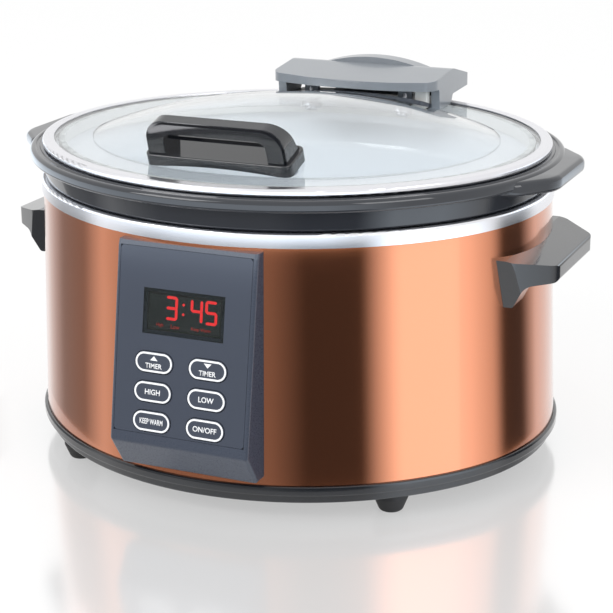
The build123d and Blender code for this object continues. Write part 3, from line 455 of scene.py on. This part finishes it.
def round_oval(shape, oval, base):
    """Carry the section in the bmesh, drawn from the reference oval outwards, round that oval's four arcs."""
    turn = atan2(oval.side_y, oval.end_x)
    place = Matrix.Translation((base.x + oval.end_x, base.y, 0)) @ Matrix.Rotation(-turn, 4, "Z")
    place @= Matrix.Translation((oval.half_length - oval.end_x, 0, 0))
    bmesh.ops.transform(shape, verts=shape.verts, matrix=place)
    wire = shape.verts[:] + shape.edges[:]
    arcs = (
        (oval.end_x, 0, 2 * turn), (0, -oval.side_y, pi - 2 * turn),
        (-oval.end_x, 0, 2 * turn), (0, oval.side_y, pi - 2 * turn),
    )
    for x, y, sweep in arcs:
        wire = bmesh.ops.spin(shape, geom=wire, cent=(base.x + x, base.y + y, 0), axis=(0, 0, 1), angle=sweep,
                              steps=round(sweep / radians(1.5)))["geom_last"]
    bmesh.ops.remove_doubles(shape, verts=shape.verts, dist=0.01 * mm)
    bmesh.ops.holes_fill(shape, edges=shape.edges)
    bmesh.ops.recalc_face_normals(shape, faces=shape.faces)


def crock_lug(oval, wall):
    """Flat tongue with rounded corners and edges and a finger scoop; its root stays within the wall."""
    reach = oval.half_length + oval.lug_proud
    shoulder = oval.half_length - oval.lug_proud / 2
    root = oval.half_length - 3 * wall
    hollow, buried = root + 1.4 * wall, root + 1.45 * wall
    tip_round = 1.6 * oval.lug_proud
    outline = (  # x, y and rounding of each corner; the root's middle is hollow, as the wall curves there
        (root, -oval.lug_root, 0), (shoulder, -oval.lug_root + oval.lug_round, oval.lug_proud),
        (reach, -oval.lug_tip, tip_round), (reach, oval.lug_tip, tip_round),
        (shoulder, oval.lug_root - oval.lug_round, oval.lug_proud), (root, oval.lug_root, 0),
        (hollow, 0.4 * oval.lug_root, 0), (hollow, -0.4 * oval.lug_root, 0),
    )
    places = [Vector((x, y, 0)) for x, y, _ in outline]
    tongue = bmesh.new()
    corners = [tongue.verts.new(place) for place in places]
    tongue.faces.new(corners)
    for i, corner in enumerate(corners):
        if outline[i][2]:
            round_corner(tongue, corner, places[i - 1], places[i + 1], outline[i][2], 10)
    lift(tongue, bmesh.ops.extrude_face_region(tongue, geom=tongue.faces[:], use_keep_orig=True)["geom"],
         oval.lug_thick)
    bmesh.ops.recalc_face_normals(tongue, faces=tongue.faces)
    free = [e for e in tongue.edges if e.verts[0].co.z == e.verts[1].co.z
            and max(e.verts[0].co.x, e.verts[1].co.x) > buried]
    bmesh.ops.bevel(tongue, geom=free, offset=oval.lug_round, offset_type="OFFSET", segments=6, profile=0.5,
                    affect="EDGES", material=-1, clamp_overlap=True)
    # The scoop is a shallow groove along the lug's underside: cut lines first, then the corners rise into it.
    scoop_x = reach - oval.lug_thick
    depth = oval.scoop_radius - oval.scoop_depth
    half_width = sqrt(oval.scoop_radius ** 2 - depth ** 2)
    half_span = 0.75 * oval.lug_tip
    cuts = [((scoop_x + half_width * i / 6, 0, 0), (1, 0, 0)) for i in range(-6, 7)]
    cuts += [((0, side * y, 0), (0, 1, 0)) for side in (-1, 1) for y in (half_span, half_span + 0.1 * mm)]
    for point, normal in cuts:
        bmesh.ops.bisect_plane(tongue, geom=tongue.verts[:] + tongue.edges[:] + tongue.faces[:], dist=1e-6,
                               plane_co=point, plane_no=normal)
    for vert in tongue.verts:
        off = abs(vert.co.x - scoop_x)
        if off < half_width and abs(vert.co.y) < half_span + 0.05 * mm and vert.co.z < oval.lug_thick / 2:
            vert.co.z = max(vert.co.z, sqrt(oval.scoop_radius ** 2 - off ** 2) - depth)
    return tongue


class COOKER_OT_crock(bpy.types.Operator):
    """Turn the crock's wall and rim round its oval, with a lug at each end, in place of the CAD's crock"""
    bl_idname = "cooker.crock"
    bl_label = "Turn the crock"

    def execute(self, context):
        oval = context.scene.cooker_crock
        base = centre("outer_housing")
        low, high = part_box("crock")
        rim, foot, wall = high.z / mm, low.z / mm, 7
        section = (  # out from the oval, height and rounding, in mm: up the outside, over the rim and down
            (-76.8, foot + 1.2, 0), (-50.8, foot + 1.2, 0), (-50.8, foot, 0), (-21.5, foot, 24),
            (-17.5, rim - 18.8, 0), (-6.5, rim - 18.8, 2), (-4.8, rim - 7.5, 1), (2, rim - 6.5, 2.2),
            (2, rim, 2.6), (-1.4, rim, 0.45), (-1.85, rim - 0.9, 0.45), (-3.75, rim - 0.9, 0.45),
            (-4.2, rim, 0.45), (-13.5, rim, 2), (-14.3, rim - 13, 9), (-24.5, rim - 27.8, 9),
            (-28.5, foot + 8, 17), (-76.8, foot + 8, 0),
        )
        pot = bmesh.new()
        rounded_line(pot, [(Vector((x, 0, z)) * mm, r * mm) for x, z, r in section], 6)
        round_oval(pot, oval, base)
        mesh = bpy.data.meshes.new("crock_glazed")
        for turn in (0, pi):
            tongue = crock_lug(oval, wall * mm)
            tongue.transform(Matrix.Translation((base.x, base.y, high.z - oval.lug_drop - oval.lug_thick))
                             @ Matrix.Rotation(turn, 4, "Z"))
            tongue.to_mesh(mesh)
            tongue.free()
            pot.from_mesh(mesh)
        for face in pot.faces:
            face.smooth = True
        pot.to_mesh(mesh)
        pot.free()
        mesh.set_sharp_from_angle(angle=radians(50))
        mesh.materials.append(nodes["crock"].material_slots[0].material)
        made = bpy.data.objects.new("crock_glazed", mesh)
        context.scene.collection.objects.link(made)
        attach(made, "crock")
        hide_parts("crock")
        return {"FINISHED"}


class COOKER_OT_finishes(bpy.types.Operator):
    """Give every carried-over node its finish"""
    bl_idname = "cooker.finishes"
    bl_label = "Give the finishes"

    def execute(self, context):
        look = context.scene.cooker_finish
        round_brush = (0.03, 0.03, 1.0)
        finishes = {
            # Steel brushed round the body under a tinted lacquer: warm metal with a second, sharp gloss.
            "copper_steel": surface("Copper-lacquered brushed steel", look.copper, 0.16, 0.5, 0.0015,
                                    round_brush, 0.05, 0.02, Metallic=1.0, Coat_Weight=1.0,
                                    Coat_Roughness=0.04),
            # Stainless steel, satin-brushed: bright, and its reflections are spread wide.
            "bright_steel": surface("Satin stainless steel", look.steel, 0.24, 0.4, 0.001, round_brush,
                                    0.08, 0.02, Metallic=1.0),
            # Zinc plate on screws and small parts: grey and slightly dull.
            "plain_steel": surface("Zinc-plated steel", "#a9abb0", 0.35, 0.3, 0.002, Metallic=1.0),
            # Rolled aluminised sheet: matt silver with rolling lines.
            "coated_aluminium": surface("Aluminised sheet", "#b4b6b8", 0.45, 0.6, 0.003, round_brush,
                                        Metallic=1.0),
            # Foil wrapped by hand round the heating element: crinkled, so its gloss breaks up.
            "heater_foil": surface("Heater foil", "#c0bcb4", 0.5, 3.0, 0.08, Metallic=1.0),
            # Phenolic from a polished mould: deep black, glossy, with slight flow waves.
            "black_phenolic": surface("Moulded black phenolic", look.phenolic, 0.1, 7.0, 0.006, spread=0.05,
                                      IOR=1.55, Coat_Weight=0.5, Coat_Roughness=0.03),
            # Nylon from a plain mould: mid grey with a soft gloss.
            "grey_plastic": surface("Moulded grey nylon", "#4a4e56", 0.3, 1.0, 0.004),
            # ABS from a lightly blasted mould: even slate grey with a soft gloss.
            "slate_plastic": surface("Moulded slate ABS", look.slate, 0.28, 0.5, 0.003, IOR=1.52),
            # Polyester overlay: fine-textured, satin.
            "slate_overlay": surface("Polyester overlay", look.slate, 0.36, 0.35, 0.002, IOR=1.52),
            # Silicone-coated keys: the overlay's slate, but a shade duller.
            "slate_key": surface("Slate silicone-coated key", look.slate, 0.4, 0.35, 0.002),
            # Cast acrylic with a dark tint, polished.
            "smoked_window": clear_material("Smoked acrylic", "#aab4b2", 0.02, 1.49),
            # Cast epoxy behind the window: nearly black, so that the unlit display doesn't show.
            "display_block": surface("Black display casting", "#1c2a2e", 0.35, 0.6, 0.002),
            # Glass laminate under solder mask: green and half glossy, with the weave just felt.
            "circuit_board": surface("Green glass laminate", "#2a5a34", 0.4, 0.8, 0.004),
            # Stoneware dipped in glaze and fired: a wet gloss over soft ripples.
            "black_glaze": glazed_crock(look.glaze, look.inner_glaze),
            # Tempered soda-lime glass: clear with a faint green cast.
            "clear_glass": clear_material("Tempered glass", "#f8fbfd", 0.02, 1.5),
            # Silicone pressed in a mould: milky white and matt.
            "silicone": surface("White silicone", "#e2e2df", 0.5, 1.0, 0.004, IOR=1.41),
            # Rubber from a blasted mould: black and matt, with a fine grit.
            "black_rubber": surface("Moulded black rubber", "#141416", 0.6, 0.5, 0.01),
            # The cap over the hinge is satin grey phenolic, coloured paler than its own grey: the extra paleness
            # is a painted reflection of the white studio that its sloping top catches.
            "hinge_cap": surface("Satin grey phenolic with painted sheen", look.cap, 0.3, 7.0, 0.004, spread=0.05,
                                 IOR=1.55, Coat_Weight=0.6, Coat_Roughness=0.15),
        }
        for entry in frame["record"]["subparts"]:
            materials = nodes[entry["node"]].data.materials
            materials.clear()
            materials.append(finishes.get(entry["node"], finishes[entry["material_slot"]]))
        return {"FINISHED"}


# ---------------------------------------------------------------- printed keys and display
def press_axis(name):
    """Way that a key goes when it is pressed."""
    joint = next(j for j in frame["joints"] if j["name"] == f"key_{name}_press")
    return Vector(joint["axis"]).normalized()


def face_place(node, outward, x=0.0, y=0.0):
    """Matrix from a node's front face: X to the right, Y up the panel, Z outwards, from its middle."""
    across = Vector((1, 0, 0))
    upward = outward.cross(across)
    points = [v.co for v in nodes[node].data.vertices]

    def middle(axis):
        reach = [p.dot(axis) for p in points]
        return (min(reach) + max(reach)) / 2

    front = max(p.dot(outward) for p in points)
    spot = across * (middle(across) + x) + upward * (middle(upward) + y) + outward * front
    turn = Matrix((across, upward, outward)).transposed().to_4x4()
    return Matrix.Translation(spot) @ turn


def ink_words(ink, words, height, x=0.0, y=0.0, squeeze=1.0, weight=0.0):
    """Lay flat words, centred on a point and as high as their capitals, into a bmesh."""
    curve = bpy.data.curves.new("words", "FONT")
    curve.body = words
    curve.offset = weight
    holder = bpy.data.objects.new("words", curve)
    flat = bpy.data.meshes.new_from_object(holder)
    bpy.data.objects.remove(holder)
    bpy.data.curves.remove(curve)
    before = set(ink.verts)
    ink.from_mesh(flat)
    bpy.data.meshes.remove(flat)
    fresh = [v for v in ink.verts if v not in before]
    spans = [[v.co[i] for v in fresh] for i in (0, 1)]
    scale = height / (max(spans[1]) - min(spans[1]))
    middle = Vector([(max(span) + min(span)) / 2 for span in spans] + [0])
    bmesh.ops.translate(ink, verts=fresh, vec=-middle)
    bmesh.ops.scale(ink, verts=fresh, vec=(scale * squeeze, scale, 1))
    bmesh.ops.translate(ink, verts=fresh, vec=(x, y, 0))


def ink_outline(ink, width, height, line):
    """Lay the outline of a key, a ring with round ends, into a bmesh."""
    rims = []
    for radius in (height / 2, height / 2 - line):
        rims.append(bmesh.ops.create_circle(ink, segments=64, radius=radius)["verts"])
    edges = {e for rim in rims for v in rim for e in v.link_edges}
    bmesh.ops.bridge_loops(ink, edges=list(edges))
    shift = (width - height) / 2
    for side in (-1, 1):
        half = [v for rim in rims for v in rim if v.co.x * side > 1e-7]
        bmesh.ops.translate(ink, verts=half, vec=(side * shift, 0, 0))


def ink_arrow(ink, width, height, y, way):
    """Lay a triangle that points up or down into a bmesh."""
    corner = bmesh.ops.create_circle(ink, segments=3, radius=1, cap_ends=True)["verts"]
    spans = [[v.co[i] for v in corner] for i in (0, 1)]
    size = [max(span) - min(span) for span in spans]
    middle = Vector([(max(span) + min(span)) / 2 for span in spans] + [0])
    bmesh.ops.translate(ink, verts=corner, vec=-middle)
    bmesh.ops.scale(ink, verts=corner, vec=(width / size[0], way * height / size[1], 1))
    bmesh.ops.translate(ink, verts=corner, vec=(0, y, 0))


def thicken(ink, height):
    """Give flat ink its thickness, upwards from its face."""
    bmesh.ops.remove_doubles(ink, verts=ink.verts, dist=0.002 * mm)
    flat = ink.faces[:]
    for face in flat:
        if face.normal.z < 0:
            face.normal_flip()
    lift(ink, bmesh.ops.extrude_face_region(ink, geom=flat, use_keep_orig=True)["geom"], height)


def lit_print(name, code, roughness, glow, dimmest, brightest):
    """Print that glows by itself, a little more in one place than in the next."""
    made, tree, output = start_material(name)
    grain = add(tree, "TexNoise", {"Scale": 1 / (2 * mm)}, Vector=add(tree, "TexCoord").outputs["Object"])
    power = add(tree, "MapRange", {"To Min": dimmest, "To Max": brightest}, Value=grain.outputs[0])
    shader = add(tree, "BsdfPrincipled", {"Base Color": linear(code), "Roughness": roughness,
                                          "Emission Color": linear(glow)}, Emission_Strength=power.outputs[0])
    tree.links.new(shader.outputs[0], output.inputs[0])
    return made


class COOKER_OT_keys(bpy.types.Operator):
    """Print an outline and words on each key"""
    bl_idname = "cooker.keys"
    bl_label = "Print the keys"

    def execute(self, context):
        sizes = context.scene.cooker_print
        # Screen-printed ink: opaque, slightly raised and duller than the key.
        paint = surface("White screen ink", context.scene.cooker_finish.ink, 0.45, 0.3, 0.002)
        wide, narrow, bold = 0.95, 0.62, 0.02
        words = {"timer_up": ("TIMER", wide), "timer_down": ("TIMER", wide), "high": ("HIGH", wide),
                 "low": ("LOW", wide), "keep_warm": ("KEEP WARM", narrow), "on_off": ("ON/OFF", wide)}
        arrow_width, arrow_height, arrow_rise, word_drop = 4.6 * mm, 2.5 * mm, 2.3 * mm, 1.9 * mm
        for name, (label, squeeze) in words.items():
            outward = -press_axis(name)
            node = f"key_{name}"
            points = [v.co for v in nodes[node].data.vertices]
            top = max(p.dot(outward) for p in points)
            face = [p for p in points if p.dot(outward) > top - 0.02 * mm]
            upward = outward.cross(Vector((1, 0, 0)))
            width = max(p.x for p in face) - min(p.x for p in face)
            height = max(p.dot(upward) for p in face) - min(p.dot(upward) for p in face)
            ink = bmesh.new()
            ink_outline(ink, width, height, sizes.line)
            if label == "TIMER":
                way = 1 if name == "timer_up" else -1
                ink_arrow(ink, arrow_width, arrow_height, arrow_rise, way)
                ink_words(ink, label, 0.9 * sizes.letter, 0, -word_drop, squeeze, bold)
            else:
                ink_words(ink, label, sizes.letter, 0, 0, squeeze, bold)
            thicken(ink, sizes.ink_height)
            made = settle(ink, f"print_{name}", paint, node, face_place(node, outward))
        return {"FINISHED"}


class COOKER_OT_display(bpy.types.Operator):
    """Light the display's digits and the words under them"""
    bl_idname = "cooker.display"
    bl_label = "Light the display"

    def execute(self, context):
        sizes = context.scene.cooker_print
        outward = -press_axis("high")
        high, stroke = sizes.digit, sizes.stroke
        wide = 0.56 * high
        gap, mitre, overlap = 0.12 * stroke, 0.42 * stroke, 0.35 * stroke
        segment_thick, colon_x, colon_rise = 0.1 * mm, -0.6 * mm, 0.2 * high
        digits_rise, legend_drop, legend_height = 2.6 * mm, 7.4 * mm, 2.3 * mm
        lay = {  # segment: middle as shares of width and height, and whether it lies flat
            "a": (0, 0.5, True), "b": (0.5, 0.25, False), "c": (0.5, -0.25, False), "d": (0, -0.5, True),
            "e": (-0.5, -0.25, False), "f": (-0.5, 0.25, False), "g": (0, 0, True),
        }
        digits = {"3": "abcdg", "4": "bcfg", "5": "acdfg"}
        lit = bmesh.new()
        span_x, span_y = wide - stroke, high - stroke

        def bar(x, y, length, flat):
            made = bmesh.ops.create_grid(lit, x_segments=1, y_segments=1, size=0.5)["verts"]
            bmesh.ops.scale(lit, verts=made, vec=(length, stroke, 1) if flat else (stroke, length, 1))
            cut = bmesh.ops.bevel(lit, geom=made, offset=mitre, offset_type="OFFSET", segments=1,
                                  profile=0.5, affect="VERTICES", material=-1)
            bmesh.ops.translate(lit, verts=cut["verts"], vec=(x, y, 0))

        for digit, x in (("3", -7.8 * mm), ("4", 7.4 * mm), ("5", 16.2 * mm)):
            for name in digits[digit]:
                share_x, share_y, flat = lay[name]
                length = (span_x if flat else span_y / 2) - gap + overlap
                bar(x + share_x * span_x, share_y * span_y, length, flat)
        for y in (colon_rise, -colon_rise):
            bar(colon_x, y, stroke, True)
        bmesh.ops.transform(lit, verts=lit.verts, matrix=Matrix.Shear("XY", 4, (sin(sizes.slant), 0)))
        thicken(lit, segment_thick)
        # Light pipes over red diodes: an even strong red that needs no light from outside.
        lit_red = lit_print("Lit red segments", "#5a0c08", 0.4, context.scene.cooker_finish.glow, 2.0, 2.4)
        place = face_place("led_display", outward, 0, digits_rise)
        digits_piece = settle(lit, "display_digits", lit_red, "housing", place)

        # Red ink that the diodes shine through: only just lit.
        dim_red = lit_print("Dim red legend", "#3a0c08", 0.5, "#ff3018", 0.5, 0.8)
        legend = bmesh.new()
        for label, x in (("High", -14.6 * mm), ("Low", -5.2 * mm), ("Keep Warm", 10.4 * mm)):
            ink_words(legend, label, legend_height, x, 0, 0.95, 0.01)
        thicken(legend, sizes.ink_height)
        place = face_place("led_display", outward, 0, -legend_drop)
        words_piece = settle(legend, "display_legend", dim_red, "housing", place)
        return {"FINISHED"}


operators = (
    COOKER_OT_stage, COOKER_OT_tent, COOKER_OT_finishes, COOKER_OT_crock, COOKER_OT_keys,
    COOKER_OT_display,
)
groups = {
    "cooker_stage": CookerStage, "cooker_finish": CookerFinish, "cooker_crock": CookerCrock,
    "cooker_print": CookerPrint,
}


class COOKER_PT_dressing(bpy.types.Panel):
    """Lists the dressing steps and their sizes and colours"""
    bl_idname = "COOKER_PT_dressing"
    bl_label = "Slow Cooker"
    bl_space_type = "VIEW_3D"
    bl_region_type = "UI"
    bl_category = "Cooker"

    def draw(self, context):
        for step in operators:
            self.layout.operator(step.bl_idname)
        for name, group in groups.items():
            for size in group.__annotations__:
                self.layout.prop(getattr(context.scene, name), size)


classes = (*groups.values(), *operators, COOKER_PT_dressing)


def register():
    for item in classes:
        bpy.utils.register_class(item)
    for name, group in groups.items():
        setattr(bpy.types.Scene, name, PointerProperty(type=group))


def unregister():
    for name in groups:
        delattr(bpy.types.Scene, name)
    for item in reversed(classes):
        bpy.utils.unregister_class(item)


def main():
    register()
    for step in operators:
        group, name = step.bl_idname.split(".")
        getattr(getattr(bpy.ops, group), name)()


if __name__ == "__main__":
    main()
